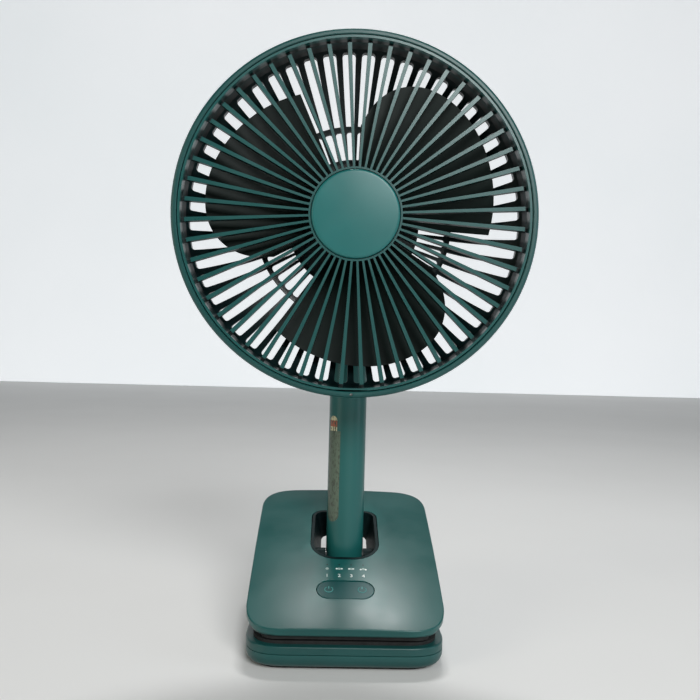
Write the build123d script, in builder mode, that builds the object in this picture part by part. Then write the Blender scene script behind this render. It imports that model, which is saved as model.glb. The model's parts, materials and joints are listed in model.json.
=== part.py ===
"""Clip-on desk fan: a caged fan head on a round stem that folds in the upper jaw of a spring clip.

Millimetres, +Z up, the face of the fan looks along -Y, and the origin is the centre of the foot's underside.
"""

import os
from math import atan2, cos, degrees, radians, sin, sqrt

from build123d import *

os.makedirs("parts", exist_ok=True)

# ---------------------------------------------------------------- driving dimensions
base_width = 100.0
corner_reach = 20.0  # how far a soft corner of either jaw runs along its sides
corner_ease = 0.31  # 0.45 would be a plain arc, less is a squarer and softer corner

jaw_length = 127.0  # along the slope of the upper jaw
jaw_tilt = 20.5  # slope of the closed upper jaw, low at the front
jaw_height = 41.6  # height of the upper jaw's split line above the origin
crown_radius = 700.0
crown_height = 5.8  # above the split line, at the middle of the upper jaw
tray_depth = 10.0
tray_inset = 2.4
shell = 1.8  # wall of the upper jaw's two mouldings
cover_skirt = 1.1  # how far the cover's wall hangs below the split line

grip_height = 15.1  # underside of the upper grip pad, mouth closed
grip_pad_thick = 1.6

lower_length = 117.0
lower_top = 12.4
lower_split = 8.2
lower_floor = 1.4  # underside of the lower shell, above the table
foot_inset = 5.0
foot_thick = 2.6
window_width = 90.0  # opening of the lower frame
window_front = -43.0
window_back = 44.0
lip_height = 1.6

pin_y = 5.0  # clip hinge
pin_z = 21.0
pin_radius = 2.0
ear_radius = 5.0
running_gap = 0.05  # radial clearance of a pin in its hole

slot_front = -12.2  # along the slope, from the middle of the upper jaw
slot_back = 37.0
slot_half = 19.3
slot_bottom_front = -10.5
slot_bottom_back = 33.5
slot_bottom_half = 14.6

stem_y = 7.5
stem_radius = 10.5
stem_bore = 8.7
fold_z = 39.5
fold_pin_radius = 2.0
knuckle_half = 10.0  # between the two spot faces beside the fold pin
boss_radius = 3.6  # bosses inside the stem's slot that carry the fold pin
boss_start = 10.75
boss_end = 17.2
stem_top = 197.0

head_z = 225.6
head_radius = 92.5
rim_front = -46.0  # foremost plane of the head's rim
rim_inner = 89.5
rib_count = 52
rib_front = -43.6
rib_back = -39.2
rib_end = 86.0
hub_radius = 23.8
cap_radius = 22.5
blade_count = 3
blade_tip = 78.0
fan_hub_radius = 21.0
tilt_y = 7.5
tilt_pin_radius = 2.5

key_u = -36.4  # control key, along the slope from the middle of the upper jaw
key_width = 29.7
key_height = 13.3
key_gap = 0.3

# ---------------------------------------------------------------- frames
slope = radians(jaw_tilt)
jaw = Plane(origin=(0, 0, jaw_height), x_dir=(1, 0, 0), z_dir=(0, -sin(slope), cos(slope)))
head_section = Plane(origin=(0, 0, head_z), x_dir=(0, 1, 0), z_dir=(1, 0, 0))
head_axis = Axis((0, 0, head_z), (0, 1, 0))
fold_point = (0, stem_y, fold_z)
pin_point = (0, pin_y, pin_z)
tilt_point = (0, tilt_y, head_z)


def face_plane(y):
    """Plane square to the fan axis at depth y, whose own Z runs backwards."""
    return Plane(origin=(0, y, head_z), x_dir=(1, 0, 0), z_dir=(0, 1, 0))


def jaw_world(u, w):
    """Y and Z of a point u along the upper jaw's slope and w above its split line."""
    return (u * cos(slope) - w * sin(slope), jaw_height + u * sin(slope) + w * cos(slope))


def crown_at(x, u):
    """Height of the crowned top above the split line."""
    return crown_height - crown_radius + sqrt(crown_radius**2 - x * x - u * u)


# ---------------------------------------------------------------- shared shapes
def soft_rectangle(width, length, reach):
    """Rectangle whose corners ease into the sides."""
    half_w = width / 2
    half_l = length / 2
    inner = reach * corner_ease
    with BuildSketch() as outline:
        with BuildLine():
            Line((half_w, 0), (half_w, half_l - reach))
            Bezier(
                (half_w, half_l - reach),
                (half_w, half_l - inner),
                (half_w - inner, half_l),
                (half_w - reach, half_l),
            )
            Line((half_w - reach, half_l), (0, half_l))
            mirror(about=Plane.YZ)
            mirror(about=Plane.XZ)
        make_face()
    return outline.sketch


def inset_outline(length, inset):
    """Outline of a jaw, drawn inset from its outer edge."""
    return soft_rectangle(base_width - 2 * inset, length - 2 * inset, corner_reach - inset)


def slot_outline(half_width, front, back, front_corner, back_corner):
    """Outline of the stem's slot, with its own corner radii at the front and at the back."""
    with BuildSketch() as outline:
        with Locations((0, (front + back) / 2)):
            Rectangle(2 * half_width, back - front)
        fillet(outline.vertices().group_by(Axis.Y)[0], front_corner)
        fillet(outline.vertices().group_by(Axis.Y)[-1], back_corner)
    return outline.sketch


def turned(section, points, axis):
    """Solid of revolution from a closed profile drawn on a section plane."""
    with BuildPart() as body:
        with BuildSketch(section):
            with BuildLine():
                Polyline(*points, close=True)
            make_face()
        revolve(axis=axis)
    return body.part


def cross_pin(point, radius, x_from, x_to):
    """Round bar along X."""
    with BuildPart() as bar:
        with BuildSketch(Plane(origin=(x_from, point[1], point[2]), x_dir=(0, 1, 0), z_dir=(1, 0, 0))):
            Circle(radius)
        extrude(amount=x_to - x_from)
    return bar.part


# ================================================================ head
# Outer rim, bowl and bars are one moulding; its openings stand behind the front ribs.
mid_ring = 52.0
disc_radius = 34.0
disc_front = -6.0
disc_back = -4.2
opening_turn = 4.7  # degrees of each opening
lock_screw_radius = 91.0  # from the fan axis, straight down



def grille_slot(inner, outer):
    """Opening between two bars of the rear grille, wider and rounded at its outer end."""
    with BuildSketch() as opening:
        with Locations(((inner + outer) / 2, 0)):
            Trapezoid(2 * outer * sin(radians(opening_turn / 2)), outer - inner, 90 - opening_turn / 2, rotation=90)
        fillet(opening.vertices().group_by(Axis.X)[-1], 1.5)
    return opening.sketch


with BuildPart() as rear_grille:
    with BuildSketch(head_section):
        with BuildLine():
            Polyline((disc_front, 0), (disc_front, disc_radius), (-8.4, mid_ring))
            ThreePointArc((-8.4, mid_ring), (-17.6, 71.8), (-31.5, 87.2))
            Polyline(
                (-31.5, 87.2),
                (-37.6, rim_inner - 0.9),
                (-37.6, rim_inner),
                (rim_front + 0.4, rim_inner),
                (rim_front, rim_inner + 0.4),
                (rim_front, head_radius - 1.4),
                (rim_front + 0.5, head_radius - 0.5),
                (rim_front + 1.4, head_radius),
                (-38.5, head_radius),
                (-30.6, 89.6),
            )
            ThreePointArc((-30.6, 89.6), (-16.2, 73.4), (-6.4, mid_ring + 0.4))
            Polyline((-6.4, mid_ring + 0.4), (disc_back, disc_radius), (disc_back, 0), (disc_front, 0))
        make_face()
    revolve(axis=head_axis)
    with BuildSketch(face_plane(-34)):
        with PolarLocations(0, rib_count, start_angle=180 / rib_count):
            add(grille_slot(53.6, 86.0))
            add(grille_slot(36.0, 50.8))
    extrude(amount=34, mode=Mode.SUBTRACT)
    with BuildSketch(face_plane(-20)):
        with PolarLocations(17.0, 3, start_angle=30):
            Circle(1.3)
        Circle(2.6)
    extrude(amount=20, mode=Mode.SUBTRACT)
    with BuildSketch(face_plane(rim_front - 1)):
        with Locations((0, lock_screw_radius)):
            Circle(0.75)
    extrude(amount=5, mode=Mode.SUBTRACT)

# Flat front grille: a rim ring, ribs that widen outwards, and a cup that holds the hub cap.
ring_inner = 87.8
ring_outer = 89.0
ring_flat = 0.45  # depth of the flat at the bottom of the ring
rib_root = 23.0
rib_wide = 2.1  # at the outer end
rib_slim = 1.1  # at the hub
rib_taper = degrees(atan2(2 * (rib_end - rib_root), rib_wide - rib_slim))
with BuildPart() as front_grille:
    with BuildSketch(face_plane(rib_back)):
        Circle(hub_radius)
        with PolarLocations(0, rib_count, start_angle=180 / rib_count):
            with Locations(((rib_root + rib_end) / 2, 0)):
                Trapezoid(rib_wide, rib_end - rib_root, rib_taper, rotation=90)
    extrude(amount=rib_front - rib_back)
    with BuildSketch(face_plane(rib_back)):
        Circle(ring_outer)
        Circle(ring_inner, mode=Mode.SUBTRACT)
        with Locations((0, ring_outer + 2.0)):
            Rectangle(30, 4.0 + 2 * ring_flat, mode=Mode.SUBTRACT)
    extrude(amount=-6.6)
    with BuildSketch(face_plane(rib_back)):
        with PolarLocations((ring_inner + rim_inner) / 2, 4, start_angle=45):
            Rectangle(rim_inner - ring_inner - 0.1, 7.0)
    extrude(amount=-1.8)
    with BuildSketch(face_plane(rib_back)):
        with PolarLocations(0, rib_count, start_angle=180 / rib_count):
            with Locations(((rib_end + ring_inner) / 2, 0)):
                Rectangle(ring_inner - rib_end + 1.0, 2.1)
    extrude(amount=-1.6)
    with BuildSketch(face_plane(rib_front)):
        Circle(cap_radius + 0.35)
    extrude(amount=3.2, mode=Mode.SUBTRACT)
    with BuildSketch(face_plane(rib_back)):
        Circle(3.0)
    extrude(amount=-6, mode=Mode.SUBTRACT)

# Domed cap that snaps into the grille's cup on a short post.
with BuildPart() as hub_cap:
    with BuildSketch(head_section):
        with BuildLine():
            Polyline((rib_back - 1.2, 0), (rib_back - 1.2, cap_radius), (-43.6, cap_radius))
            ThreePointArc((-43.6, cap_radius), (-44.5, cap_radius - 0.45), (-44.9, cap_radius - 1.4))
            dome_reach = cap_radius - 1.4
            dome_radius = (dome_reach**2 + 0.6**2) / 1.2
            dome_mid = -45.5 + dome_radius - sqrt(dome_radius**2 - 12.0**2)
            ThreePointArc((-44.9, dome_reach), (dome_mid, 12.0), (-45.5, 0))
            Line((-45.5, 0), (rib_back - 1.2, 0))
        make_face()
    revolve(axis=head_axis)
    with BuildSketch(face_plane(rib_back - 1.3)):
        Circle(2.9)
    extrude(amount=1.2)


widest_turn = 43.0


def blade_section(turn):
    """Radial slice of a blade, turned about the fan axis: its inner and outer depths and its reach."""
    share = (turn + 2.0) / 90.0
    inner_y = -15.5 - 19.0 * share
    outer_y = -27.9 - 8.3 * share
    if turn > widest_turn:
        reach = blade_tip - 21.5 * ((turn - widest_turn) / 40.0) ** 3.2
    else:
        reach = blade_tip - 7.0 * ((widest_turn - turn) / 49.0) ** 1.3
    angle = radians(turn)
    return Plane(origin=(0, 0, 0), x_dir=(cos(angle), 0, sin(angle)), z_dir=(-sin(angle), 0, cos(angle))), (
        inner_y,
        outer_y,
        reach,
    )


# One wide blade, lofted through radial slices from its rear leading edge to its swept front edge.
blade_half = 0.7
blade_turns = (-5.0, 4.0, 17.0, 30.0, 43.0, 55.0, 65.0, 74.0, 81.0, 88.0)
with BuildPart() as blade:
    for turn in blade_turns:
        plane, (inner_y, outer_y, reach) = blade_section(turn)
        with BuildSketch(plane):
            root = fan_hub_radius - 0.8
            tip_y = inner_y + (outer_y - inner_y) * (reach - root) / (blade_tip - root)
            with BuildLine():
                Polyline(
                    (root, inner_y - blade_half),
                    (reach, tip_y - blade_half * 0.7),
                    (reach, tip_y + blade_half * 0.7),
                    (root, inner_y + blade_half),
                    close=True,
                )
            make_face()
    loft()

# Three blades on a hub cup that hides the motor.
with BuildPart() as fan_blades:
    with BuildSketch(head_section):
        with BuildLine():
            Polyline(
                (-38.0, 2.2),
                (-38.0, fan_hub_radius - 1.6),
                (-36.4, fan_hub_radius),
                (-13.5, fan_hub_radius),
                (-13.5, 19.4),
                (-35.6, 19.4),
                (-35.6, 2.2),
                close=True,
            )
        make_face()
    revolve(axis=head_axis)
    for index in range(blade_count):
        add(blade.part.rotate(Axis.Y, -360 / blade_count * index).translate((0, 0, head_z)))

rotor_can = turned(
    head_section,
    ((-35.5, 3.2), (-35.5, 19.3), (-16.0, 19.3), (-16.0, 16.2), (-33.8, 16.2), (-33.8, 3.2)),
    head_axis,
)
motor_shaft = turned(head_section, ((-38.9, 0), (-38.9, 1.5), (-9.0, 1.5), (-9.0, 0)), head_axis)
blade_nut = turned(
    head_section,
    ((-38.4, 1.55), (-38.4, 2.15), (-35.4, 2.15), (-35.4, 3.1), (-33.9, 3.1), (-33.9, 1.55)),
    head_axis,
)

# Twelve-pole stator with its windings, on the bearing tube.
with BuildPart() as motor_stator:
    with BuildSketch(face_plane(-30.0)):
        Circle(9.0)
        with PolarLocations(0, 12):
            with Locations((11.0, 0)):
                Rectangle(7.0, 2.4)
            with Locations((14.9, 0)):
                Rectangle(1.4, 5.6)
        Circle(4.2, mode=Mode.SUBTRACT)
    extrude(amount=9.0)

with BuildPart() as motor_windings:
    with BuildSketch(face_plane(-31.2)):
        with PolarLocations(11.6, 12):
            RectangleRounded(4.6, 4.3, 0.8)
        with PolarLocations(11.6, 12):
            Rectangle(5.4, 2.4, mode=Mode.SUBTRACT)
    extrude(amount=11.4)

# Bearing tube and mounting plate.
motor_base = turned(
    head_section,
    ((-32.0, 3.05), (-32.0, 4.15), (-10.5, 4.15), (-10.5, 21.0), (-8.5, 21.0), (-8.5, 3.05)),
    head_axis,
)
with BuildPart() as motor_plate:
    add(motor_base)
    with BuildSketch(face_plane(-8.5)):
        with PolarLocations(17.0, 3, start_angle=30):
            Circle(3.0)
    extrude(amount=2.5)
    with BuildSketch(face_plane(-12.0)):
        with PolarLocations(17.0, 3, start_angle=30):
            Circle(1.0)
    extrude(amount=8.0, mode=Mode.SUBTRACT)

with BuildPart() as motor_board:
    with BuildSketch(face_plane(-13.2)):
        Circle(16.0)
        Circle(5.0, mode=Mode.SUBTRACT)
    extrude(amount=1.2)
    with BuildSketch(face_plane(-13.2)):
        with PolarLocations(10.5, 5, start_angle=20):
            Rectangle(4.0, 3.0)
    extrude(amount=-1.0)

bearing_profile = ((0, 1.53), (0, 3.0), (3.0, 3.0), (3.0, 1.53))
with BuildPart() as shaft_bearings:
    for start in (-31.8, -12.0):
        add(turned(head_section, [(start + y, r) for y, r in bearing_profile], head_axis))

with BuildPart() as motor_screws:
    with BuildSketch(face_plane(disc_back)):
        with PolarLocations(17.0, 3, start_angle=30):
            Circle(2.3)
    extrude(amount=1.4)
    with BuildSketch(face_plane(disc_back)):
        with PolarLocations(17.0, 3, start_angle=30):
            Circle(0.97)
    extrude(amount=-6.0)

# Rear cover with the two ears of the tilt joint.
cover_back = -1.2
ear_inner = 5.4
ear_outer = 9.6
with BuildPart() as motor_cover:
    with BuildSketch(face_plane(disc_back)):
        Circle(24.0)
    extrude(amount=cover_back - disc_back)
    chamfer(motor_cover.edges().group_by(Axis.Y)[-1], 1.0)
    with BuildSketch(face_plane(disc_back)):
        with PolarLocations(17.0, 3, start_angle=30):
            Circle(2.6)
    extrude(amount=2.0, mode=Mode.SUBTRACT)
    for side in (-1, 1):
        ear_start = side * ear_inner
        with BuildSketch(Plane(origin=(ear_start, 0, 0), x_dir=(0, 1, 0), z_dir=(1, 0, 0))):
            with Locations((tilt_y, head_z)):
                Circle(9.0)
            with Locations(((cover_back + tilt_y) / 2 - 0.4, head_z)):
                Rectangle(tilt_y - cover_back + 0.8, 18.0)
        extrude(amount=side * (ear_outer - ear_inner))
    with Locations((0, stem_y, head_z - 26.0)):
        Cylinder(stem_radius + 0.8, 30, mode=Mode.SUBTRACT)
    with Locations(Location(tilt_point, (0, 90, 0))):
        Cylinder(tilt_pin_radius, 40, mode=Mode.SUBTRACT)

with BuildPart() as cover_screws:
    for side in (-1, 1):
        with BuildSketch(Plane(origin=(side * 16.5, cover_back, head_z), x_dir=(1, 0, 0), z_dir=(0, 1, 0))):
            Circle(1.9)
        extrude(amount=0.7)

with BuildPart() as grille_lock_screw:
    with BuildSketch(face_plane(rim_front + 2.6)):
        with Locations((0, lock_screw_radius)):
            Circle(0.75)
    extrude(amount=1.3)

with BuildPart() as tilt_pin:
    add(cross_pin(tilt_point, tilt_pin_radius, -ear_outer, ear_outer))
    add(cross_pin(tilt_point, 4.6, ear_outer, ear_outer + 1.2))
    add(cross_pin(tilt_point, 4.6, -ear_outer - 1.2, -ear_outer))

# ================================================================ neck
tongue_half = 4.2
washer_gap = 0.15
shank_radius = 6.5
with BuildPart() as neck:
    with BuildSketch(Plane.XY.offset(stem_top + 0.3)):
        with Locations((0, stem_y)):
            Circle(stem_radius)
    extrude(amount=15.5)
    fillet(neck.edges().group_by(Axis.Z)[-1], 3.0)
    with BuildSketch(Plane(origin=(-tongue_half, 0, 0), x_dir=(0, 1, 0), z_dir=(1, 0, 0))):
        with Locations((tilt_y, head_z)):
            Circle(8.0)
        with Locations((tilt_y, (head_z + stem_top + 8.0) / 2)):
            Rectangle(14.0, head_z - stem_top - 8.0)
    extrude(amount=2 * tongue_half)
    with Locations(Location(tilt_point, (0, 90, 0))):
        Cylinder(tilt_pin_radius + running_gap, 40, mode=Mode.SUBTRACT)
    with BuildSketch(Plane.XY.offset(stem_top + 0.4)):
        with Locations((0, stem_y)):
            Circle(shank_radius)
    extrude(amount=-17.4)

with BuildPart() as tilt_washers:
    for side in (-1, 1):
        with BuildSketch(Plane(origin=(side * (tongue_half + washer_gap), 0, 0), x_dir=(0, 1, 0), z_dir=(1, 0, 0))):
            with Locations((tilt_y, head_z)):
                Circle(6.5)
                Circle(tilt_pin_radius + running_gap, mode=Mode.SUBTRACT)
        extrude(amount=side * (ear_inner - tongue_half - washer_gap))

with BuildPart() as swivel_retainer:
    with BuildSketch(Plane.XY.offset(stem_top - 17.0)):
        with Locations((0, stem_y)):
            Circle(stem_bore - 0.6)
    extrude(amount=-2.0)

# ================================================================ stem
with BuildPart() as stem_tube:
    with BuildSketch(Plane.XY.offset(fold_z)):
        with Locations((0, stem_y)):
            Circle(stem_radius)
    extrude(amount=stem_top - fold_z)
    chamfer(stem_tube.edges().group_by(Axis.Z)[-1], 0.4)
    with BuildSketch(Plane.XY.offset(fold_z)):
        with Locations((0, stem_y)):
            Circle(stem_bore)
    extrude(amount=stem_top - fold_z, mode=Mode.SUBTRACT)
    for side in (-1, 1):
        add(cross_pin(fold_point, boss_radius + 0.8, side * knuckle_half, side * 12.0), mode=Mode.SUBTRACT)
    with Locations(Location(fold_point, (0, 90, 0))):
        Cylinder(fold_pin_radius, 60, mode=Mode.SUBTRACT)

# Rounded foot of the stem, with a plug that goes up inside the tube.
with BuildPart() as stem_knuckle:
    with Locations(fold_point):
        Sphere(stem_radius)
    with BuildSketch(Plane.XY.offset(fold_z)):
        with Locations((0, stem_y)):
            Rectangle(30, 30)
    extrude(amount=20, mode=Mode.SUBTRACT)
    for side in (-1, 1):
        add(cross_pin(fold_point, boss_radius + 0.8, side * knuckle_half, side * 12.0), mode=Mode.SUBTRACT)
    with BuildSketch(Plane.XY.offset(fold_z - 0.1)):
        with Locations((0, stem_y)):
            Circle(stem_bore)
    extrude(amount=34.1)
    with BuildSketch(Plane.XY.offset(fold_z + 13.0)):
        with Locations((0, stem_y)):
            Circle(5.0)
    extrude(amount=30.0, mode=Mode.SUBTRACT)
    with Locations(Location(fold_point, (0, 90, 0))):
        Cylinder(fold_pin_radius, 60, mode=Mode.SUBTRACT)

with BuildPart() as fold_pin:
    add(cross_pin(fold_point, fold_pin_radius, -16.2, 16.2))

with BuildPart() as fold_washers:
    for side in (-1, 1):
        with BuildSketch(Plane(origin=(side * knuckle_half, 0, 0), x_dir=(0, 1, 0), z_dir=(1, 0, 0))):
            with Locations((stem_y, fold_z)):
                Circle(boss_radius)
                Circle(fold_pin_radius, mode=Mode.SUBTRACT)
        extrude(amount=side * 0.6)

with BuildPart() as swivel_bush:
    with BuildSketch(Plane.XY.offset(stem_top)):
        with Locations((0, stem_y)):
            Circle(stem_bore)
            Circle(shank_radius + running_gap, mode=Mode.SUBTRACT)
    extrude(amount=-16.5)

# Blank rating label, wrapped on the front left of the stem, with a narrower cap.
label_low = 60.0
label_split = 111.0
label_high = 119.4
label_turn = radians(47.0)  # from the front towards the left
label_half = 4.3
cap_half = 2.7
with BuildPart() as rating_label:
    with BuildSketch(Plane.XY.offset(label_low)):
        with Locations((0, stem_y)):
            Circle(stem_radius + 0.15)
            Circle(stem_radius, mode=Mode.SUBTRACT)
    extrude(amount=label_high - label_low)
    with BuildSketch(
        Plane(
            origin=(0, stem_y, 0),
            x_dir=(cos(label_turn), -sin(label_turn), 0),
            z_dir=(-sin(label_turn), -cos(label_turn), 0),
        )
    ):
        with Locations((0, (label_low + label_half + label_split) / 2)):
            Rectangle(2 * label_half, label_split - label_low - label_half)
        with Locations((0, label_low + label_half)):
            Circle(label_half)
        with Locations((-0.5, (label_split + label_high - cap_half) / 2)):
            Rectangle(2 * cap_half, label_high - cap_half - label_split + 0.2)
        with Locations((-0.5, label_high - cap_half)):
            Circle(cap_half)
    extrude(amount=20, mode=Mode.INTERSECT)

# ================================================================ upper jaw
sphere_y, sphere_z = jaw_world(0, crown_height - crown_radius)


def jaw_block(outline, low, high):
    """Prism of an outline, square to the split line of the upper jaw."""
    with BuildPart() as block:
        with BuildSketch(jaw.offset(low)):
            add(outline)
        extrude(amount=high - low)
    return block.part


def crowned(block, drop):
    """A block cut down to the crowned top, or to a surface a little under it."""
    with BuildPart() as body:
        add(block)
        with Locations((0, sphere_y, sphere_z)):
            Sphere(crown_radius - drop, mode=Mode.INTERSECT)
    return body.part


def tapered(top, bottom, high, low):
    """Loft from an outline above the split line to a smaller one below it."""
    with BuildPart() as body:
        with BuildSketch(jaw.offset(low)):
            add(bottom)
        with BuildSketch(jaw.offset(high)):
            add(top)
        loft()
    return body.part


slot_top = slot_outline(slot_half, slot_front, slot_back, 15.0, 7.0)
slot_low = slot_outline(slot_bottom_half, slot_bottom_front, slot_bottom_back, 6.0, 6.0)
sleeve_outer = tapered(slot_top, slot_low, 7.0, -tray_depth)
sleeve_inner = tapered(
    slot_outline(slot_half - 1.6, slot_front + 1.6, slot_back - 1.6, 13.4, 5.4),
    slot_outline(slot_bottom_half - 1.2, slot_bottom_front + 1.2, slot_bottom_back - 1.2, 4.8, 4.8),
    7.05,
    -tray_depth - 0.05,
)
cover_shell = crowned(jaw_block(inset_outline(jaw_length, 0), -cover_skirt, 9), 0)
cover_core = crowned(jaw_block(inset_outline(jaw_length, shell), -3, 9), shell)
lens_row = (-20.2, (-9.65, -3.2, 3.2, 9.65))
lens_radius = 0.9

with BuildPart() as upper_cover:
    add(cover_shell)
    fillet(upper_cover.faces().filter_by(GeomType.SPHERE)[0].edges(), 0.6)
    add(cover_core, mode=Mode.SUBTRACT)
    add(jaw_block(slot_top, -2, 9), mode=Mode.SUBTRACT)
    add(sleeve_outer, mode=Mode.SUBTRACT)
    add(cross_pin(fold_point, boss_radius, -boss_end, boss_end), mode=Mode.SUBTRACT)
    with BuildSketch(jaw):
        with Locations((0, key_u)):
            SlotOverall(key_width + 2 * key_gap, key_height + 2 * key_gap)
        with Locations(*[(x, lens_row[0]) for x in lens_row[1]]):
            Circle(lens_radius)
    extrude(amount=9, mode=Mode.SUBTRACT)

# Lower tray: slopes up at the front so that the grip faces meet flat.
grip_back_y = -39.0
grip_floor = grip_height + grip_pad_thick
with BuildPart() as front_trim:
    with BuildSketch(Plane.XY.offset(grip_floor)):
        with Locations((0, -60)):
            Rectangle(130, 90)
    extrude(amount=-40)
with BuildPart() as core_trim:
    with BuildSketch(Plane.XY.offset(grip_floor + shell)):
        with Locations((0, -60)):
            Rectangle(130, 90)
    extrude(amount=-40)

tray_outer = jaw_block(inset_outline(jaw_length, tray_inset), -tray_depth, 1.2)
with BuildPart() as tray_core:
    add(jaw_block(inset_outline(jaw_length, tray_inset + shell), -tray_depth + shell, 4))
    add(core_trim.part, mode=Mode.SUBTRACT)

ear_half = 42.8
ear_thick = 5.0
tray_screw_spots = ((-40.0, 50.0), (40.0, 50.0))
port_width = 9.0
port_height = 3.2
port_depth = 7.6
port_end = jaw_length / 2 - tray_inset - 0.4
port_origin = jaw.from_local_coords((22.0, port_end - port_depth, -3.6))
with BuildPart() as upper_tray:
    add(tray_outer)
    chamfer(upper_tray.faces().sort_by(SortBy.AREA)[-1].edges(), 2.5)
    add(front_trim.part, mode=Mode.SUBTRACT)
    for side in (-1, 1):
        ear_start = side * (ear_half - ear_thick / 2)
        with BuildSketch(Plane(origin=(ear_start, 0, 0), x_dir=(0, 1, 0), z_dir=(1, 0, 0))):
            with Locations((pin_y, pin_z)):
                Circle(ear_radius)
            with Locations((pin_y, pin_z + 8.5)):
                Rectangle(2 * ear_radius, 17.0)
        extrude(amount=side * ear_thick)
    add(tray_core.part, mode=Mode.SUBTRACT)
    add(jaw_block(slot_low, -20, 20), mode=Mode.SUBTRACT)
    add(sleeve_outer, mode=Mode.SUBTRACT)
    add(cross_pin(fold_point, boss_radius, -boss_end, boss_end), mode=Mode.SUBTRACT)
    with BuildSketch(jaw.offset(-tray_depth - 1)):
        with Locations(*tray_screw_spots):
            Circle(1.2)
    extrude(amount=shell + 2, mode=Mode.SUBTRACT)
    with BuildSketch(Plane(origin=port_origin, x_dir=(1, 0, 0), z_dir=jaw.y_dir)):
        SlotOverall(port_width, port_height)
    extrude(amount=12, mode=Mode.SUBTRACT)
    with Locations(Location(pin_point, (0, 90, 0))):
        Cylinder(pin_radius + running_gap, 120, mode=Mode.SUBTRACT)

with BuildPart() as slot_sleeve:
    add(sleeve_outer)
    with Locations((0, sphere_y, sphere_z)):
        Sphere(crown_radius + 0.15, mode=Mode.INTERSECT)
    add(sleeve_inner, mode=Mode.SUBTRACT)
    for start, end in ((-boss_end, -boss_start), (boss_start, boss_end)):
        add(cross_pin(fold_point, boss_radius, start, end))
    with Locations(Location(fold_point, (0, 90, 0))):
        Cylinder(fold_pin_radius + running_gap, 33.0, mode=Mode.SUBTRACT)

# Control key: a stadium plate that rocks on a ridge between two switches.
key_top = crown_at(0, key_u)
with BuildPart() as control_key:
    with BuildSketch(jaw.offset(key_top - 2.4)):
        with Locations((0, key_u)):
            SlotOverall(key_width, key_height)
    extrude(amount=2.3)
    fillet(control_key.faces().sort_by(Axis(jaw.origin, jaw.z_dir))[-1].edges(), 0.3)

with BuildPart() as indicator_lenses:
    with BuildSketch(jaw.offset(1.2)):
        with Locations(*[(x, lens_row[0]) for x in lens_row[1]]):
            Circle(lens_radius - 0.02)
    extrude(amount=crown_at(6, lens_row[0]) - 1.15)

with BuildPart() as circuit_board:
    with BuildSketch(jaw.offset(-1.6)):
        with Locations((0, -33.0)):
            RectangleRounded(60, 38, 3)
    extrude(amount=1.2)
    with BuildSketch(jaw.offset(-0.4)):
        with Locations((20, -22), (-20, -24), (24, -42), (-24, -44)):
            Rectangle(6, 4)
    extrude(amount=0.9)

with BuildPart() as tact_switches:
    with BuildSketch(jaw.offset(-0.4)):
        with Locations((-8.6, key_u), (8.6, key_u)):
            Rectangle(5, 5)
    extrude(amount=1.4)
    with BuildSketch(jaw.offset(1.0)):
        with Locations((-8.6, key_u), (8.6, key_u)):
            Circle(1.4)
    extrude(amount=0.6)

with BuildPart() as key_pivot:
    with BuildSketch(jaw.offset(-0.4)):
        with Locations((0, key_u)):
            Rectangle(1.6, 12)
    extrude(amount=key_top - 2.4 + 0.25)

with BuildPart() as status_leds:
    with BuildSketch(jaw.offset(-0.4)):
        with Locations(*[(x, lens_row[0]) for x in lens_row[1]]):
            Rectangle(1.6, 1.6)
    extrude(amount=1.5)

with BuildPart() as battery_cells:
    with BuildSketch(jaw.offset(-7.6)):
        with Locations((-33.0, 14), (33.0, 14)):
            RectangleRounded(18, 54, 3)
    extrude(amount=8.4)

with BuildPart() as usb_socket:
    with BuildSketch(Plane(origin=port_origin, x_dir=(1, 0, 0), z_dir=jaw.y_dir)):
        SlotOverall(port_width, port_height)
    extrude(amount=port_depth)
    with BuildSketch(Plane(origin=port_origin + jaw.y_dir, x_dir=(1, 0, 0), z_dir=jaw.y_dir)):
        SlotOverall(port_width - 0.7, port_height - 0.7)
    extrude(amount=port_depth, mode=Mode.SUBTRACT)
    with BuildSketch(Plane(origin=port_origin, x_dir=(1, 0, 0), z_dir=jaw.y_dir)):
        Rectangle(6.7, 0.7)
    extrude(amount=port_depth - 1.6)

with BuildPart() as tray_screws:
    with BuildSketch(jaw.offset(-tray_depth)):
        with Locations(*tray_screw_spots):
            Circle(2.3)
    extrude(amount=-1.2)
    with BuildSketch(jaw.offset(-tray_depth)):
        with Locations(*tray_screw_spots):
            Circle(1.15)
    extrude(amount=8.0)

# Rubber pad on the flat front of the upper jaw.
pad_front = -55.5
pad_width = 84.0
with BuildPart() as upper_grip_pad:
    with BuildSketch(Plane.XY.offset(grip_height)):
        with Locations((0, (pad_front + grip_back_y) / 2)):
            RectangleRounded(pad_width, grip_back_y - pad_front, 7.0)
    extrude(amount=grip_pad_thick)
    with BuildSketch(Plane.XY.offset(grip_height)):
        with GridLocations(0, 3.2, 1, 5):
            with Locations((0, (pad_front + grip_back_y) / 2)):
                Rectangle(pad_width - 12, 0.9)
    extrude(amount=0.5, mode=Mode.SUBTRACT)

# ================================================================ lower jaw


def lower_block(inset, low, high):
    """Prism of the lower jaw's outline."""
    with BuildPart() as block:
        with BuildSketch(Plane.XY.offset(low)):
            add(inset_outline(lower_length, inset))
        extrude(amount=high - low)
    return block.part


# Prism of the opening through the lower frame.
window_length = window_back - window_front
with BuildPart() as window_block:
    with BuildSketch():
        with Locations((0, (window_front + window_back) / 2)):
            RectangleRounded(window_width, window_length, 12.0)
    extrude(amount=20)


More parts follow.
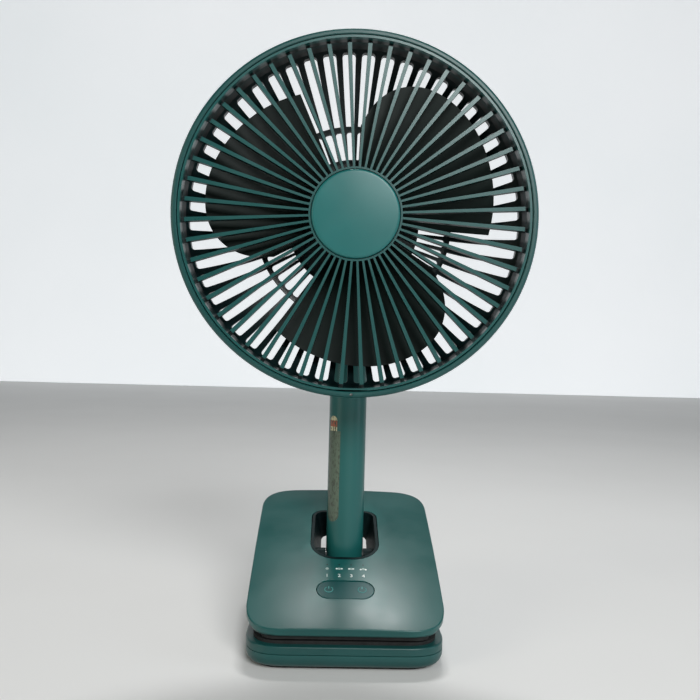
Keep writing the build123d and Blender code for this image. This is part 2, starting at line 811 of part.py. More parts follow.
lug_half = 47.6
lug_thick = 3.4
tab_y = 20.0
tab_thick = 3.0
frame_screw_spots = ((-36.0, -50.5), (36.0, -50.5), (-36.0, 50.5), (36.0, 50.5))
screw_radius = 1.4
with BuildPart() as lower_frame:
    add(lower_block(0, lower_split + 0.1, lower_top))
    fillet(lower_frame.faces().sort_by(Axis.Z)[-1].edges(), 0.8)
    chamfer(lower_frame.faces().sort_by(Axis.Z)[0].edges(), 0.3)
    add(window_block.part, mode=Mode.SUBTRACT)
    for side in (-1, 1):
        with BuildSketch(Plane(origin=(side * lug_half - lug_thick / 2, 0, 0), x_dir=(0, 1, 0), z_dir=(1, 0, 0))):
            with Locations((pin_y, pin_z)):
                Circle(ear_radius)
            with BuildLine(mode=Mode.PRIVATE) as lug_edge:
                Polyline(
                    (pin_y - 11.0, lower_split + 0.1),
                    (pin_y - ear_radius * 0.93, pin_z + 1.8),
                    (pin_y + ear_radius * 0.93, pin_z + 1.8),
                    (pin_y + 11.0, lower_split + 0.1),
                    close=True,
                )
            make_face(lug_edge.edges())
        extrude(amount=lug_thick)
        with Locations((side * 41.0, tab_y, lower_top - tab_thick / 2 - 0.1)):
            Box(10.0, 9.0, tab_thick)
    with Locations(*[(x, y, lower_split) for x, y in frame_screw_spots]):
        Cylinder(screw_radius, 4.0, mode=Mode.SUBTRACT)
    with Locations(Location(pin_point, (0, 90, 0))):
        Cylinder(pin_radius, 120, mode=Mode.SUBTRACT)

with BuildPart() as lower_base:
    add(lower_block(0, lower_floor, lower_split))
    fillet(lower_base.faces().sort_by(Axis.Z)[0].edges(), 4.6)
    add(window_block.part, mode=Mode.SUBTRACT)
    add(lower_block(foot_inset, 0, foot_thick), mode=Mode.SUBTRACT)
    with Locations(*[(x, y, lower_floor) for x, y in frame_screw_spots]):
        Cylinder(screw_radius, 20, mode=Mode.SUBTRACT)

with BuildPart() as foot_pads:
    add(lower_block(foot_inset, 0, foot_thick))
    fillet(foot_pads.faces().sort_by(Axis.Z)[0].edges(), 0.5)
    with Locations((0, (window_front + window_back) / 2)):
        Box(120, window_length + 2.0, 10, mode=Mode.SUBTRACT)

# Rubber lip that the mouth closes on, a U around the front of the window.
lip_back = -28.0
with BuildPart() as lower_grip_pad:
    add(lower_block(3.6, lower_top, lower_top + lip_height))
    add(window_block.part, mode=Mode.SUBTRACT)
    with Locations((0, lip_back + 60, 10)):
        Box(120, 120, 30, mode=Mode.SUBTRACT)
    with BuildSketch(Plane.XY.offset(lower_top + lip_height)):
        with Locations((0, -47.5)):
            RectangleRounded(76, 5.4, 2.0)
    extrude(amount=-0.8, mode=Mode.SUBTRACT)

with BuildPart() as jaw_pin:
    add(cross_pin(pin_point, pin_radius, -49.3, 49.3))

spring_radius = 4.6
wire_radius = 0.8
spring_length = 11.0
spring_pitch = 2.0
spring_start = 28.0
spring_end = spring_start + spring_length
spring_touch = jaw_world(24.0, -tray_depth - wire_radius - 0.05)  # where a spring pushes on the tray


def wire_leg(start, end):
    """Straight end of a spring's wire."""
    direction = Vector(*end) - Vector(*start)
    with BuildPart() as leg:
        with BuildSketch(Plane(origin=start, z_dir=direction)):
            Circle(wire_radius)
        extrude(amount=direction.length)
    return leg.part


# Torsion springs round the clip pin, each with one leg under the tray and one on the lower frame's tab.
with BuildPart() as jaw_springs:
    with BuildLine():
        coil = Helix(
            pitch=spring_pitch,
            height=spring_length,
            radius=spring_radius,
            center=(spring_start, pin_y, pin_z),
            direction=(1, 0, 0),
        )
    with BuildSketch(Plane(origin=coil @ 0, z_dir=coil % 0)):
        Circle(wire_radius)
    sweep()
    with Locations((spring_start, pin_y, pin_z + spring_radius), (spring_end, pin_y, pin_z - spring_radius)):
        Sphere(wire_radius + 0.02)
    add(wire_leg((spring_start, pin_y, pin_z + spring_radius), (spring_start, *spring_touch)))
    add(wire_leg((spring_end, pin_y, pin_z - spring_radius), (spring_end, tab_y, lower_top + wire_radius - 0.05)))
    mirror(about=Plane.YZ)

with BuildPart() as frame_screws:
    with BuildSketch(Plane.XY.offset(foot_thick)):
        with Locations(*frame_screw_spots):
            Circle(screw_radius)
    extrude(amount=7.4)

assembly = {
    "rear_grille": rear_grille,
    "front_grille": front_grille,
    "hub_cap": hub_cap,
    "fan_blades": fan_blades,
    "rotor_can": rotor_can,
    "motor_shaft": motor_shaft,
    "blade_nut": blade_nut,
    "motor_stator": motor_stator,
    "motor_windings": motor_windings,
    "motor_plate": motor_plate,
    "motor_board": motor_board,
    "shaft_bearings": shaft_bearings,
    "motor_screws": motor_screws,
    "motor_cover": motor_cover,
    "cover_screws": cover_screws,
    "grille_lock_screw": grille_lock_screw,
    "tilt_pin": tilt_pin,
    "tilt_washers": tilt_washers,
    "neck": neck,
    "swivel_retainer": swivel_retainer,
    "swivel_bush": swivel_bush,
    "stem_tube": stem_tube,
    "stem_knuckle": stem_knuckle,
    "fold_pin": fold_pin,
    "fold_washers": fold_washers,
    "rating_label": rating_label,
    "upper_cover": upper_cover,
    "upper_tray": upper_tray,
    "slot_sleeve": slot_sleeve,
    "control_key": control_key,
    "key_pivot": key_pivot,
    "indicator_lenses": indicator_lenses,
    "circuit_board": circuit_board,
    "tact_switches": tact_switches,
    "status_leds": status_leds,
    "battery_cells": battery_cells,
    "usb_socket": usb_socket,
    "tray_screws": tray_screws,
    "upper_grip_pad": upper_grip_pad,
    "lower_frame": lower_frame,
    "lower_base": lower_base,
    "foot_pads": foot_pads,
    "lower_grip_pad": lower_grip_pad,
    "jaw_pin": jaw_pin,
    "jaw_springs": jaw_springs,
    "frame_screws": frame_screws,
}
for label, piece in assembly.items():
    solid = piece.part if isinstance(piece, BuildPart) else piece
    solid.label = label
    export_step(solid, f"parts/{label}.step")
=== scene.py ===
"""Looks of the clip-on desk fan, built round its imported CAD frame.

Metres, +Z up, and the face of the fan looks along -Y.
"""

import json
import math

import bmesh
import bpy
from mathutils import Matrix, Vector
from mathutils.bvhtree import BVHTree

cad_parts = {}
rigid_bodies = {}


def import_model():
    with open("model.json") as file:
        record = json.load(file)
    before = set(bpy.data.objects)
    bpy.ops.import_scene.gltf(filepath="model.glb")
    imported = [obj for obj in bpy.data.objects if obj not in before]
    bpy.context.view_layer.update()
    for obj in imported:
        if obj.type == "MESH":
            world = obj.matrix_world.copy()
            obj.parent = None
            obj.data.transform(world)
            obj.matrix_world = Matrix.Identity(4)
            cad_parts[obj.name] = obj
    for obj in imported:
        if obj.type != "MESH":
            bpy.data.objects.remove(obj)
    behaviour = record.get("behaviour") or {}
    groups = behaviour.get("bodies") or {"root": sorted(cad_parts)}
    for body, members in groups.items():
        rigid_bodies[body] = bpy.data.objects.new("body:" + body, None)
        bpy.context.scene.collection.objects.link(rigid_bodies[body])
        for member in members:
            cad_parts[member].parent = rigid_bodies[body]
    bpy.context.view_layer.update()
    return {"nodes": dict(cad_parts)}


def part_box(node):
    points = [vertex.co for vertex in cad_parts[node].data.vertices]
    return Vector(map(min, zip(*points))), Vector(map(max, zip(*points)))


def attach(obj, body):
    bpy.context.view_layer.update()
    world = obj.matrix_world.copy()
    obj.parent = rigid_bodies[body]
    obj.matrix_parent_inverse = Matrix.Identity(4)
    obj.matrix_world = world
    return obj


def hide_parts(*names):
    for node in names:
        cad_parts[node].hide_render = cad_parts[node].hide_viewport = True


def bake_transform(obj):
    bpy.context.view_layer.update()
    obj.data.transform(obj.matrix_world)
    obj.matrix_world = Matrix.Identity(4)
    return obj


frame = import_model()
nodes = frame["nodes"]
MM = 0.001


# ---------------------------------------------------------------- materials
def add_node(tree, kind, **settings):
    """A shader node with some of its settings and input values."""
    node = tree.nodes.new(kind)
    for key, value in settings.items():
        if key in node.inputs:
            node.inputs[key].default_value = value
        else:
            setattr(node, key, value)
    return node


def new_material(name, **values):
    """A material whose principled shader has these values, with its tree and shader."""
    material = bpy.data.materials.new(name)
    material.use_nodes = True
    tree = material.node_tree
    shader = tree.nodes["Principled BSDF"]
    for key, value in values.items():
        shader.inputs[key.replace("_", " ")].default_value = value
    return material, tree, shader


def noise(tree, scale, detail=3.0, roughness=0.5, stretch=(1, 1, 1)):
    """Noise over the object's own coordinates, whose scale is in cells per metre."""
    coordinates = add_node(tree, "ShaderNodeTexCoord")
    mapping = add_node(tree, "ShaderNodeMapping")
    mapping.inputs["Scale"].default_value = stretch
    texture = add_node(tree, "ShaderNodeTexNoise", Scale=scale, Detail=detail, Roughness=roughness)
    tree.links.new(coordinates.outputs["Object"], mapping.inputs["Vector"])
    tree.links.new(mapping.outputs["Vector"], texture.inputs["Vector"])
    return texture.outputs["Fac"]


def ramp(tree, fac, low, high, low_at=0.3, high_at=0.7):
    """Maps a factor to a range, or to a mix of two colours."""
    node = add_node(tree, "ShaderNodeValToRGB")
    node.color_ramp.elements[0].position = low_at
    node.color_ramp.elements[1].position = high_at
    for element, value in zip(node.color_ramp.elements, (low, high)):
        element.color = (*value, 1) if isinstance(value, tuple) else (value, value, value, 1)
    tree.links.new(fac, node.inputs["Fac"])
    return node.outputs["Color"]


def bump(tree, shader, height, strength, distance):
    """Bump from a height, chained after any bump that is there already."""
    node = add_node(tree, "ShaderNodeBump", Strength=strength, Distance=distance)
    tree.links.new(height, node.inputs["Height"])
    if shader.inputs["Normal"].is_linked:
        tree.links.new(shader.inputs["Normal"].links[0].from_socket, node.inputs["Normal"])
    tree.links.new(node.outputs["Normal"], shader.inputs["Normal"])


def worn_edges(tree, colour, lighter):
    """Mixes a lighter colour in where the surface turns sharply outwards."""
    geometry = add_node(tree, "ShaderNodeNewGeometry")
    edge = ramp(tree, geometry.outputs["Pointiness"], 0.0, 1.0, 0.52, 0.62)
    mix = add_node(tree, "ShaderNodeMix", data_type="RGBA")
    tree.links.new(edge, mix.inputs["Factor"])
    tree.links.new(colour, mix.inputs[6])
    mix.inputs[7].default_value = (*lighter, 1)
    return mix.outputs[2]


def moulded_plastic(name, colour, rough, grain=1.0, lighter=None, specular=0.5, wear=True):
    """Satin plastic: a fine spark-eroded grain, slow drifts of tone and gloss, and slightly paler edges."""
    material, tree, shader = new_material(name, Specular_IOR_Level=specular)
    low = tuple(c * 0.92 for c in colour)
    high = tuple(min(1, c * 1.08) for c in colour)
    tone = ramp(tree, noise(tree, 28, 4), low, high)
    edge = lighter or tuple(min(1, c * 1.35 + 0.004) for c in colour)
    tree.links.new(worn_edges(tree, tone, edge) if wear else tone, shader.inputs["Base Color"])
    gloss = ramp(tree, noise(tree, 55, 5, 0.6), rough - 0.035, rough + 0.045)
    tree.links.new(gloss, shader.inputs["Roughness"])
    bump(tree, shader, noise(tree, 5200, 2, 0.6), 0.12 * grain, 0.00003)
    bump(tree, shader, noise(tree, 1500, 2), 0.05 * grain, 0.00004)
    return material


# Y of a surface's normal: above BACKWARD it gets no painted shade, and below SIDEWAYS it takes the painted
# depth shade in full.
BACKWARD, SIDEWAYS = 0.30, 0.12


def paint_depth_shade(material, near, far, dark):
    """Painted shade: darkens a material with depth behind the fan's face, except on surfaces that face
    backwards.
    """
    tree = material.node_tree
    shader = tree.nodes["Principled BSDF"]
    coordinates = add_node(tree, "ShaderNodeTexCoord")
    split = add_node(tree, "ShaderNodeSeparateXYZ")
    depth = add_node(tree, "ShaderNodeMapRange")
    depth.inputs["From Min"].default_value = near
    depth.inputs["From Max"].default_value = far
    mix = add_node(tree, "ShaderNodeMix", data_type="RGBA")
    tree.links.new(coordinates.outputs["Object"], split.inputs["Vector"])
    tree.links.new(split.outputs["Y"], depth.inputs["Value"])
    facing = add_node(tree, "ShaderNodeSeparateXYZ")
    tree.links.new(coordinates.outputs["Normal"], facing.inputs["Vector"])
    inward = add_node(tree, "ShaderNodeMapRange")
    inward.inputs["From Min"].default_value = BACKWARD
    inward.inputs["From Max"].default_value = SIDEWAYS
    tree.links.new(facing.outputs["Y"], inward.inputs["Value"])
    both = add_node(tree, "ShaderNodeMath", operation="MULTIPLY")
    tree.links.new(depth.outputs["Result"], both.inputs[0])
    tree.links.new(inward.outputs["Result"], both.inputs[1])
    tree.links.new(both.outputs["Value"], mix.inputs["Factor"])
    tree.links.new(shader.inputs["Base Color"].links[0].from_socket, mix.inputs[6])
    mix.inputs[7].default_value = (*dark, 1)
    tree.links.new(mix.outputs[2], shader.inputs["Base Color"])


def plated_metal(name, colour, rough, streaks=(1, 1, 1)):
    """Metal with faint directional streaks and small changes of gloss."""
    material, tree, shader = new_material(name, Metallic=1.0)
    tone = ramp(tree, noise(tree, 900, 4, 0.6, streaks), tuple(c * 0.85 for c in colour), colour)
    tree.links.new(tone, shader.inputs["Base Color"])
    gloss = ramp(tree, noise(tree, 300, 5, 0.6, streaks), rough - 0.06, rough + 0.08)
    tree.links.new(gloss, shader.inputs["Roughness"])
    bump(tree, shader, noise(tree, 2600, 3, 0.6, streaks), 0.15, 0.00002)
    return material


def matt_rubber(name, colour):
    """Soft black rubber with a dusty, slightly uneven surface."""
    material, tree, shader = new_material(name, Specular_IOR_Level=0.3)
    tone = ramp(tree, noise(tree, 160, 6, 0.65), colour, tuple(c * 1.7 + 0.004 for c in colour))
    tree.links.new(tone, shader.inputs["Base Color"])
    tree.links.new(ramp(tree, noise(tree, 400, 3), 0.68, 0.86), shader.inputs["Roughness"])
    bump(tree, shader, noise(tree, 2400, 4, 0.7), 0.3, 0.00005)
    return material


def solder_mask(name):
    """Green laminate with faint copper tracks showing through."""
    material, tree, shader = new_material(name, Roughness=0.35)
    coordinates = add_node(tree, "ShaderNodeTexCoord")
    tracks = add_node(tree, "ShaderNodeTexBrick", Scale=220.0)
    tracks.inputs["Mortar Size"].default_value = 0.12
    tracks.inputs["Color1"].default_value = (0.010, 0.085, 0.035, 1)
    tracks.inputs["Color2"].default_value = (0.008, 0.070, 0.030, 1)
    tracks.inputs["Mortar"].default_value = (0.030, 0.150, 0.055, 1)
    tree.links.new(coordinates.outputs["Object"], tracks.inputs["Vector"])
    tree.links.new(tracks.outputs["Color"], shader.inputs["Base Color"])
    return material


def printed_label(name, low, high):
    """Narrow film: a cream cap with a reddish mark on top, and grey-green below with faint rows of print."""
    material, tree, shader = new_material(name, Roughness=0.38, Coat_Weight=0.3, Coat_Roughness=0.2)
    coordinates = add_node(tree, "ShaderNodeTexCoord")
    split = add_node(tree, "ShaderNodeSeparateXYZ")
    tree.links.new(coordinates.outputs["Object"], split.inputs["Vector"])
    height = add_node(tree, "ShaderNodeMapRange")
    height.inputs["From Min"].default_value = low
    height.inputs["From Max"].default_value = high
    tree.links.new(split.outputs["Z"], height.inputs["Value"])
    body = add_node(tree, "ShaderNodeValToRGB")
    body.color_ramp.interpolation = "CONSTANT"
    cream = (0.62, 0.58, 0.36)
    stops = ((0.0, (0.085, 0.125, 0.085)), (0.859, cream), (0.895, (0.36, 0.10, 0.05)), (0.955, cream))
    for position, colour in stops[2:]:
        body.color_ramp.elements.new(position)
    for element, (position, colour) in zip(body.color_ramp.elements, stops):
        element.position = position
        element.color = (*colour, 1)
    tree.links.new(height.outputs["Result"], body.inputs["Fac"])
    print_rows = ramp(tree, noise(tree, 1100, 2, 0.5, (1, 1, 0.45)), 0.0, 1.0, 0.5, 0.62)
    mix = add_node(tree, "ShaderNodeMix", data_type="RGBA")
    tree.links.new(print_rows, mix.inputs["Factor"])
    tree.links.new(body.outputs["Color"], mix.inputs[6])
    mix.inputs[7].default_value = (0.045, 0.060, 0.040, 1)
    tree.links.new(mix.outputs[2], shader.inputs["Base Color"])
    return material


BODY = (0.0040, 0.0740, 0.0690)
BODY_DARK = (0.0036, 0.0580, 0.0550)
# Painted shade: a near-black teal for the slot's inside, the screws' recesses and the cage's depths.
RECESS_SHADE = (0.0010, 0.0100, 0.0110)
label_low, label_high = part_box("rating_label")

materials = {
    "body": moulded_plastic("body_satin", BODY, 0.31),
    "key": moulded_plastic("key_satin", (0.0030, 0.0690, 0.0690), 0.30),
    "jaw": moulded_plastic("jaw_grain", BODY_DARK, 0.40, 1.6),
    "rim": moulded_plastic("rim_satin", BODY_DARK, 0.36, 1.3),
    "rib": moulded_plastic("rib_satin", BODY_DARK, 0.30),
    # The cap's paler teal is painted light: the soft front light it reflects, put into its colour.
    "cap": moulded_plastic("cap_satin", (0.0080, 0.1250, 0.1200), 0.34, 1.0, wear=False),
    "recess": moulded_plastic("recess_grain", RECESS_SHADE, 0.52, 1.0, specular=0.15),
    "blade": moulded_plastic("blade_satin", (0.0013, 0.0080, 0.0062), 0.50, 1.5, specular=0.2, wear=False),
    "black": moulded_plastic("black_plastic", (0.010, 0.010, 0.010), 0.45),
    "steel": plated_metal("zinc_plate", (0.62, 0.62, 0.60), 0.28),
    "brass": plated_metal("turned_brass", (0.70, 0.50, 0.24), 0.25),
    "copper": plated_metal("enamelled_copper", (0.60, 0.24, 0.10), 0.30, (1, 14, 1)),
    "board": solder_mask("solder_mask"),
    "cell": moulded_plastic("cell_wrap", (0.05, 0.16, 0.34), 0.25),
    "rubber": matt_rubber("matt_rubber", (0.010, 0.011, 0.011)),
    "label": printed_label("printed_label", label_low.z, label_high.z),
    "print": moulded_plastic("white_print", (0.80, 0.88, 0.84), 0.40, 0.5, (0.9, 0.95, 0.92)),
    # The raised signs are a paler teal than the key: painted highlight.
    "sign_highlight": moulded_plastic("moulded_sign", (0.060, 0.270, 0.260), 0.30, 0.5),
}
lens, lens_tree, lens_shader = new_material("light_pipe", Roughness=0.2, Transmission_Weight=0.5, IOR=1.45)
lens_tree.links.new(
    ramp(lens_tree, noise(lens_tree, 800, 3), (0.60, 0.85, 0.80), (0.85, 1.0, 0.95)),
    lens_shader.inputs["Base Color"],
)
materials["lens"] = lens

# Painted shade on the ribs' sides and on the rim and cage behind the face, darker with depth.
rib_low, rib_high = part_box("front_grille")
paint_depth_shade(materials["rib"], rib_low.y + 2.4 * MM, rib_low.y + 3.6 * MM, RECESS_SHADE)
paint_depth_shade(materials["rim"], rib_high.y + 1 * MM, rib_high.y + 5 * MM, RECESS_SHADE)

looks = {
    "body": ("neck", "stem_tube", "stem_knuckle", "upper_cover"),
    "cap": ("hub_cap",),
    # The slot's sleeve is near-black: painted shade of the slot's inside.
    "recess": ("slot_sleeve",),
    "key": ("control_key",),
    "jaw": ("upper_tray", "lower_frame", "lower_base"),
    "rim": ("rear_grille", "motor_cover"),
    "rib": ("front_grille",),
    "blade": ("fan_blades",),
    "black": ("tilt_washers", "swivel_bush", "fold_washers", "key_pivot", "tact_switches"),
    "steel": (
        "rotor_can",
        "motor_shaft",
        "motor_stator",
        "motor_plate",
        "motor_screws",
        "cover_screws",
        "grille_lock_screw",
        "tilt_pin",
        "swivel_retainer",
        "fold_pin",
        "usb_socket",
        "tray_screws",
        "jaw_pin",
        "jaw_springs",
        "frame_screws",
    ),
    "brass": ("blade_nut", "shaft_bearings"),
    "copper": ("motor_windings",),
    "board": ("motor_board", "circuit_board"),
    "cell": ("battery_cells",),
    "rubber": ("upper_grip_pad", "foot_pads", "lower_grip_pad"),
    "label": ("rating_label",),
    "lens": ("indicator_lenses",),
    "print": ("status_leds",),
}
for look, names in looks.items():
    for name in names:
        nodes[name].data.materials.clear()
        nodes[name].data.materials.append(materials[look])


# ---------------------------------------------------------------- small pieces
# The slope and height of the upper jaw are the CAD model's own.
JAW_SLOPE = math.radians(20.5)
JAW_HEIGHT = 41.6 * MM  # of its split line, above the origin
PROBE_HEIGHT = 30 * MM  # above the split line, clear of the cover
WELD = 1e-7  # distance that joins the split vertices of an imported mesh
jaw_along = Vector((0, math.cos(JAW_SLOPE), math.sin(JAW_SLOPE)))
jaw_up = Vector((0, -math.sin(JAW_SLOPE), math.cos(JAW_SLOPE)))
key_low, key_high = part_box("control_key")
lens_low, lens_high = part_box("indicator_lenses")


def node_body(node):
    """Name of the body that a CAD node belongs to."""
    return nodes[node].parent.name.removeprefix("body:")


def linked(name, data):
    """Object that shows some data, linked to the scene."""
    piece = bpy.data.objects.new(name, data)
    bpy.context.scene.collection.objects.link(piece)
    return piece


def mesh_piece(name, shape):
    """Linked object from a bmesh."""
    mesh = bpy.data.meshes.new(name)
    shape.to_mesh(mesh)
    shape.free()
    return linked(name, mesh)


def surface_tree(name):
    """Search tree over a CAD node's mesh."""
    mesh = nodes[name].data
    return BVHTree.FromPolygons([v.co for v in mesh.vertices], [p.vertices for p in mesh.polygons])


surfaces = {name: surface_tree(name) for name in ("upper_cover", "control_key")}


def slope_at(y, z):
    """Distance along the upper jaw's slope of a point on it."""
    return Vector((0, y, z - JAW_HEIGHT)).dot(jaw_along)


def touch(node, x, u):
    """Point of a node's upper surface over a place on the jaw's slope, with the surface's direction."""
    start = Vector((x, 0, JAW_HEIGHT)) + jaw_along * u + jaw_up * PROBE_HEIGHT
    point, normal, _, _ = surfaces[node].ray_cast(start, -jaw_up)
    return point, normal


def laid(piece, node, x, u, lift, material):
    """Lays a piece drawn in its own XY plane on a node's surface and lets it ride on that node's body."""
    point, normal = touch(node, x, u)
    side = Vector((1, 0, 0))
    side = (side - normal * side.dot(normal)).normalized()
    basis = Matrix((side, normal.cross(side), normal)).transposed()
    piece.matrix_world = Matrix.Translation(point + normal * lift) @ basis.to_4x4()
    piece.data.materials.append(material)
    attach(piece, node_body(node))


def disc_piece(name, radius, thick):
    """Thin round plate with a slightly smaller top."""
    shape = bmesh.new()
    bmesh.ops.create_cone(
        shape, cap_ends=True, segments=24, radius1=radius, radius2=radius * 0.9, depth=thick
    )
    return mesh_piece(name, shape)


def arc_piece(name, radius, thick, start, end, steps=28):
    """Round wire along part of a circle."""
    curve = bpy.data.curves.new(name, "CURVE")
    curve.dimensions = "3D"
    curve.bevel_depth = thick / 2
    curve.bevel_resolution = 3
    spline = curve.splines.new("POLY")
    spline.points.add(steps)
    for index, point in enumerate(spline.points):
        turn = start + (end - start) * index / steps
        point.co = (radius * math.sin(turn), radius * math.cos(turn), 0, 1)
    return linked(name, curve)


def digit_piece(name, text, size):
    """One raised digit."""
    curve = bpy.data.curves.new(name, "FONT")
    curve.body = text
    curve.size = size
    curve.align_x = "CENTER"
    curve.align_y = "CENTER"
    curve.extrude = 0.02 * MM
    return linked(name, curve)


def cap_piece():
    """Domed cap of the hub, turned from a profile that runs from its pole to its back edge."""
    low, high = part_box("hub_cap")
    radius = (high.x - low.x) / 2
    axis_z = (low.z + high.z) / 2
    face = low.y + 0.02 * MM
    back = high.y - 0.05 * MM
    dome, shoulder, edge = 0.6 * MM, 1.4 * MM, 1.9 * MM
    dome_steps, shoulder_steps, segments = 24, 8, 128
    profile = []
    for step in range(1, dome_steps + 1):
        share = step / dome_steps
        profile.append(((radius - shoulder) * share, face + dome * share**2))
    for step in range(1, shoulder_steps + 1):
        turn = math.pi / 2 * step / shoulder_steps
        depth = dome + (edge - dome) * (1 - math.cos(turn))
        profile.append((radius - shoulder + shoulder * math.sin(turn), face + depth))
    profile.append((radius, back))
    shape = bmesh.new()
    pole = shape.verts.new((0, face, axis_z))
    last = None
    for reach, y in profile:
        ring = []
        for index in range(segments):
            turn = 2 * math.pi * index / segments
            ring.append(shape.verts.new((reach * math.cos(turn), y, axis_z + reach * math.sin(turn))))
        for index in range(segments):
            after = (index + 1) % segments
            if last is None:
                shape.faces.new((pole, ring[index], ring[after]))
            else:
                shape.faces.new((last[index], ring[index], ring[after], last[after]))
        last = ring
    shape.faces.new(tuple(reversed(last)))
    bmesh.ops.recalc_face_normals(shape, faces=shape.faces)
    for facet in shape.faces:
        facet.smooth = len(facet.verts) < segments
    return mesh_piece("domed_cap", shape)


def springs_piece():
    """Both torsion springs, as one smooth mesh in the place of the CAD ones."""
    shape = bmesh.new()
    shape.from_mesh(nodes["jaw_springs"].data)
    bmesh.ops.remove_doubles(shape, verts=shape.verts, dist=WELD)
    for facet in shape.faces:
        facet.smooth = True
    return mesh_piece("torsion_springs", shape)


# The springs' smooth mesh takes the CAD springs' place and is attached to no body.
torsion_springs = springs_piece()
torsion_springs.data.materials.append(materials["steel"])
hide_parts("jaw_springs")
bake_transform(torsion_springs)

domed_cap = cap_piece()
domed_cap.data.materials.append(materials["cap"])
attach(domed_cap, node_body("hub_cap"))
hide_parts("hub_cap")

lens_u = slope_at((lens_low.y + lens_high.y) / 2, (lens_low.z + lens_high.z) / 2)
key_u = slope_at((key_low.y + key_high.y) / 2, (key_low.z + key_high.z) / 2)

# A digit and a pinhole for each of the four lenses, and two speed dots by each of the last three.
PRINT_LIFT = 0.03 * MM
DIGIT_SIZE = 3.3 * MM
DIGIT_DROP = 5.6 * MM  # down the slope from the lenses
DOT_RADIUS = 0.55 * MM
DOT_THICK = 0.04 * MM
PINHOLE_RADIUS = 0.45 * MM
PINHOLE_THICK = 0.03 * MM
PINHOLE_RISE = 3.4 * MM  # up the slope from the lenses
speed_marks = (
    ("1", -9.65, ()),
    ("2", -3.2, ((-1.35, 0), (1.35, 0))),
    ("3", 3.2, ((-1.1, 0), (1.1, 0))),
    ("4", 9.65, ((-1.35, -0.35), (1.35, -0.35))),
)
for digit, x, dots in speed_marks:
    figure = digit_piece(f"digit_{digit}", digit, DIGIT_SIZE)
    laid(figure, "upper_cover", x * MM, lens_u - DIGIT_DROP, PRINT_LIFT, materials["print"])
    for index, (dot_x, dot_u) in enumerate(dots):
        dot = disc_piece(f"speed_dot_{digit}_{index}", DOT_RADIUS, DOT_THICK)
        place_x, place_u = (x + dot_x) * MM, lens_u + dot_u * MM
        laid(dot, "upper_cover", place_x, place_u, PRINT_LIFT, materials["print"])
    # Each pinhole is a flat black disc: painted shade for the dark inside of the hole.
    pinhole = disc_piece(f"pinhole_{digit}", PINHOLE_RADIUS, PINHOLE_THICK)
    laid(pinhole, "upper_cover", x * MM, lens_u + PINHOLE_RISE, PRINT_LIFT, materials["black"])

# Power signs on the two ends of the control key: an open ring and a short bar, raised and in a paler teal,
# which is a painted highlight on them.
SIGN_RADIUS = 2.1 * MM
SIGN_LINE = 0.42 * MM
SIGN_HALF_GAP = 35  # degrees
BAR_LENGTH = 1.8 * MM
BAR_THICK = 0.12 * MM
BAR_RISE = 1.5 * MM
for side, x in (("left", -8.6), ("right", 8.6)):
    gap_edges = math.radians(SIGN_HALF_GAP), math.radians(360 - SIGN_HALF_GAP)
    ring = arc_piece(f"power_ring_{side}", SIGN_RADIUS, SIGN_LINE, *gap_edges)
    laid(ring, "control_key", x * MM, key_u, 0.02 * MM, materials["sign_highlight"])
    bar_shape = bmesh.new()
    bmesh.ops.create_cube(bar_shape, size=1.0)
    bmesh.ops.scale(bar_shape, vec=(SIGN_LINE, BAR_LENGTH, BAR_THICK), verts=bar_shape.verts)
    bar = mesh_piece(f"power_bar_{side}", bar_shape)
    laid(bar, "control_key", x * MM, key_u + BAR_RISE, 0.05 * MM, materials["sign_highlight"])


CROSS_THICK = 0.12 * MM
LEVEL = 1e-5  # vertices this close to the top of a screw's head belong to its rim


def cross_recess(name, node, centre, facing, reach):
    """Thin dark cross on a screw's head: painted shade, which stands for the shade in its recess."""
    shape = bmesh.new()
    for turn in (0, math.pi / 2):
        made = bmesh.ops.create_cube(shape, size=1.0)["verts"]
        bmesh.ops.scale(shape, vec=(2 * reach, reach * 0.5, CROSS_THICK), verts=made)
        bmesh.ops.rotate(shape, matrix=Matrix.Rotation(turn, 3, "Z"), verts=made)
    piece = mesh_piece(name, shape)
    piece.matrix_world = Matrix.Translation(centre) @ facing.to_track_quat("Z", "Y").to_matrix().to_4x4()
    piece.data.materials.append(materials["recess"])
    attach(piece, node_body(node))


def separate_heads(node, facing):
    """Middle of the head of each screw in a node, taken from the loose parts of its mesh."""
    shape = bmesh.new()
    shape.from_mesh(nodes[node].data)
    bmesh.ops.remove_doubles(shape, verts=shape.verts, dist=WELD)
    left = set(shape.verts)
    heads = []
    while left:
        island = {left.pop()}
        edge = list(island)
        while edge:
            grown = {e.other_vert(v) for v in edge for e in v.link_edges} - island
            island |= grown
            edge = list(grown)
        left -= island
        top = max(v.co.dot(facing) for v in island)
        rim = [v.co.copy() for v in island if v.co.dot(facing) > top - LEVEL]
        heads.append(sum(rim, Vector()) / len(rim))
    shape.free()
    return heads


# Each screw head gets a cross of painted shade for its recess.
for node, facing, reach in (
    ("cover_screws", Vector((0, 1, 0)), 1.1 * MM),
    ("tray_screws", -jaw_up, 1.3 * MM),
    ("frame_screws", Vector((0, 0, -1)), 0.8 * MM),
):
    for index, centre in enumerate(separate_heads(node, facing)):
        cross_recess(f"{node}_cross_{index}", node, centre, facing, reach)

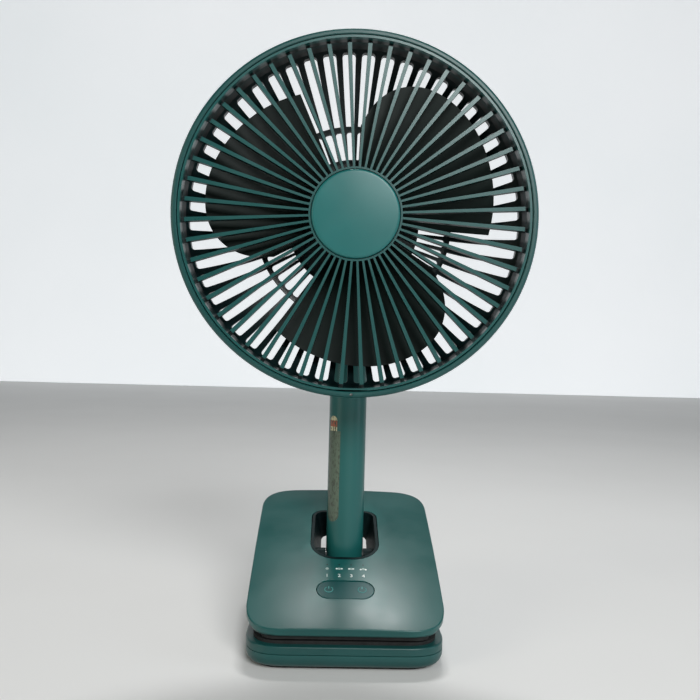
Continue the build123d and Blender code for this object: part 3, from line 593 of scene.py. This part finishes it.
# ---------------------------------------------------------------- stage
FLOOR_RADIUS = 6.0
WALL_WIDTH, WALL_HEIGHT = 7.0, 1.7
WALL_PLACE = 2.2  # behind the fan
surface = bmesh.new()
bmesh.ops.create_circle(surface, cap_ends=True, segments=96, radius=FLOOR_RADIUS)
floor = mesh_piece("floor", surface)
upright = bmesh.new()
bmesh.ops.create_grid(upright, size=0.5)
bmesh.ops.scale(upright, vec=(WALL_WIDTH, WALL_HEIGHT, 1), verts=upright.verts)
bmesh.ops.rotate(upright, matrix=Matrix.Rotation(math.pi / 2, 3, "X"), verts=upright.verts)
bmesh.ops.translate(upright, vec=(0, WALL_PLACE, WALL_HEIGHT / 2), verts=upright.verts)
wall = mesh_piece("backdrop", upright)
floor_material, floor_tree, floor_shader = new_material("pale_floor", Roughness=0.6)
floor_tone = ramp(floor_tree, noise(floor_tree, 3, 3), (0.72, 0.72, 0.71), (0.76, 0.76, 0.75))
floor_tree.links.new(floor_tone, floor_shader.inputs["Base Color"])
floor.data.materials.append(floor_material)
wall_material, wall_tree, wall_shader = new_material("pale_backdrop", Roughness=0.8, Emission_Strength=0.70)
wall_tone = ramp(wall_tree, noise(wall_tree, 1.5, 2), (0.72, 0.75, 0.77), (0.76, 0.78, 0.80))
wall_tree.links.new(wall_tone, wall_shader.inputs["Base Color"])
wall_tree.links.new(wall_tone, wall_shader.inputs["Emission Color"])
wall.data.materials.append(wall_material)

world = bpy.data.worlds.new("pale_room")
bpy.context.scene.world = world
world.use_nodes = True
world.node_tree.nodes["Background"].inputs["Color"].default_value = (0.90, 0.92, 0.93, 1)
world.node_tree.nodes["Background"].inputs["Strength"].default_value = 0.09


def softbox(name, place, target, width, height, watts, colour=(1, 1, 1)):
    """Rectangular area light aimed at a point."""
    light = bpy.data.lights.new(name, "AREA")
    light.shape = "RECTANGLE"
    light.size = width
    light.size_y = height
    light.energy = watts
    light.color = colour
    lamp = linked(name, light)
    lamp.location = place
    lamp.rotation_euler = (Vector(target) - Vector(place)).to_track_quat("-Z", "Y").to_euler()


softbox("front_softbox", (0.50, -1.5, 1.05), (0, 0, 0.2), 0.8, 0.7, 25)
softbox("back_softbox", (0.05, 0.33, 1.12), (0, -0.04, 0.04), 0.24, 0.14, 5.0)
softbox("left_fill", (-1.4, -0.9, 0.6), (0, 0, 0.15), 0.5, 0.9, 5, (1.0, 0.95, 0.80))
softbox("right_fill", (1.5, -0.5, 0.5), (0, 0, 0.10), 0.5, 0.9, 3, (0.75, 0.92, 1.0))

bpy.context.scene.view_settings.view_transform = "Standard"

# ---------------------------------------------------------------- camera
FOCAL_PIXELS = 760.0
IMAGE_PIXELS = 700.0
camera_data = bpy.data.cameras.new("camera")
camera_data.sensor_width = 36.0
camera_data.lens = 36.0 * FOCAL_PIXELS / IMAGE_PIXELS
camera_data.clip_start = 0.02
camera = linked("camera", camera_data)
bpy.context.scene.camera = camera
camera_yaw = math.radians(-1.55)
camera_pitch = math.radians(0.52)
camera_roll = math.radians(1.50)
camera.location = (-0.01146, -0.42637, 0.1605)
camera.rotation_euler = (
    Matrix.Rotation(camera_yaw, 3, "Z")
    @ Matrix.Rotation(math.pi / 2 - camera_pitch, 3, "X")
    @ Matrix.Rotation(camera_roll, 3, "Z")
).to_euler()
